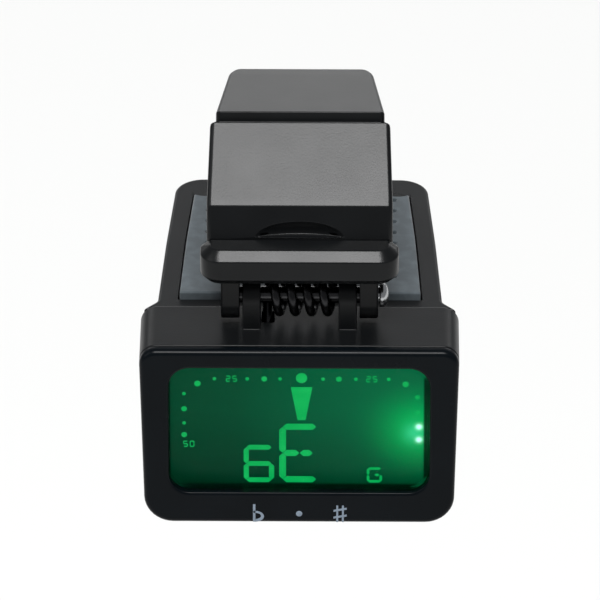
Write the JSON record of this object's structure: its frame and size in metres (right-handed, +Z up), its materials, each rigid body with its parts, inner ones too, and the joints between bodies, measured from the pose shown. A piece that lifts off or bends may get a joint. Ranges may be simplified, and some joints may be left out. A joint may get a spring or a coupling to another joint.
{
  "type": "clip-on instrument tuner",
  "caption": "Clip-on instrument tuner: a backlit note display on a sprung clamp that grips a headstock and picks up its vibration.",
  "frame": {"origin": "on the lower jaw's rubber face, above the centre of the coin cell", "axes": "+Z up towards the upper jaw, -Y the way the display faces, +X to the right of a viewer who faces the display"},
  "size_m": [0.0284, 0.0323, 0.0353],
  "materials": {
    "case_plastic": "fine satin texture",
    "bezel_plastic": "semi-gloss",
    "lens": "clear polished",
    "lcd": "lit green screen",
    "acrylic": "clear",
    "reflector": "white film",
    "led": "lit",
    "strip_rubber": "matte",
    "circuit_board": "green solder mask",
    "chip_resin": "moulded resin",
    "button_rubber": "matte",
    "pad_rubber": "soft matte",
    "piezo_brass": "bright",
    "piezo_ceramic": "silvered ceramic",
    "red_insulation": "satin",
    "black_insulation": "satin",
    "cell_steel": "satin",
    "plated_steel": "bright",
    "spring_steel": "blackened",
    "arm_plastic": "fine satin texture"
  },
  "bodies": {
    "housing": {"rear_housing": "case_plastic", "front_bezel": "bezel_plastic", "window_lens": "lens", "lcd_panel": "lcd", "light_guide": "acrylic", "reflector_sheet": "reflector", "backlight_led_upper": "led", "backlight_led_lower": "led", "zebra_strip": "strip_rubber", "main_board": "circuit_board", "tuner_chip": "chip_resin", "clock_crystal": "plated_steel", "power_switch": "chip_resin", "mode_switch": "chip_resin", "jaw_plate": "case_plastic", "lower_pad": "pad_rubber", "piezo_plate": "piezo_brass", "piezo_ceramic": "piezo_ceramic", "sensor_lead_red": "red_insulation", "sensor_lead_black": "black_insulation", "coin_cell": "cell_steel", "cell_contact_negative": "plated_steel", "cell_contact_positive": "plated_steel", "jaw_screw_left": "plated_steel", "jaw_screw_right": "plated_steel", "hinge_pin": "plated_steel", "torsion_spring": "spring_steel"},
    "arm": {"clip_arm": "arm_plastic", "upper_pad": "pad_rubber"},
    "power_key": {"power_button": "button_rubber"},
    "mode_key": {"mode_button": "button_rubber"},
    "door": {"battery_door": "case_plastic"}
  },
  "joints": [
    {"name": "arm_hinge", "type": "hinge", "parent": "housing", "child": "arm", "pos_m": [0, -0.0144, 0.0023], "axis": [1, 0, 0], "range_deg": [-34, 28], "stiffness_Nm_per_rad": 0.1, "deforming": ["torsion_spring"]},
    {"name": "power_press", "type": "slide", "parent": "housing", "child": "power_key", "axis": [0, 0, 1], "range_m": [0, 0.0004], "stiffness_N_per_m": 800},
    {"name": "mode_press", "type": "slide", "parent": "housing", "child": "mode_key", "axis": [0, 0, 1], "range_m": [0, 0.0004], "stiffness_N_per_m": 800},
    {"name": "door_hinge", "type": "hinge", "parent": "housing", "child": "door", "pos_m": [0, -0.01, -0.0074], "axis": [-1, 0, 0], "range_deg": [0, 90]}
  ]
}
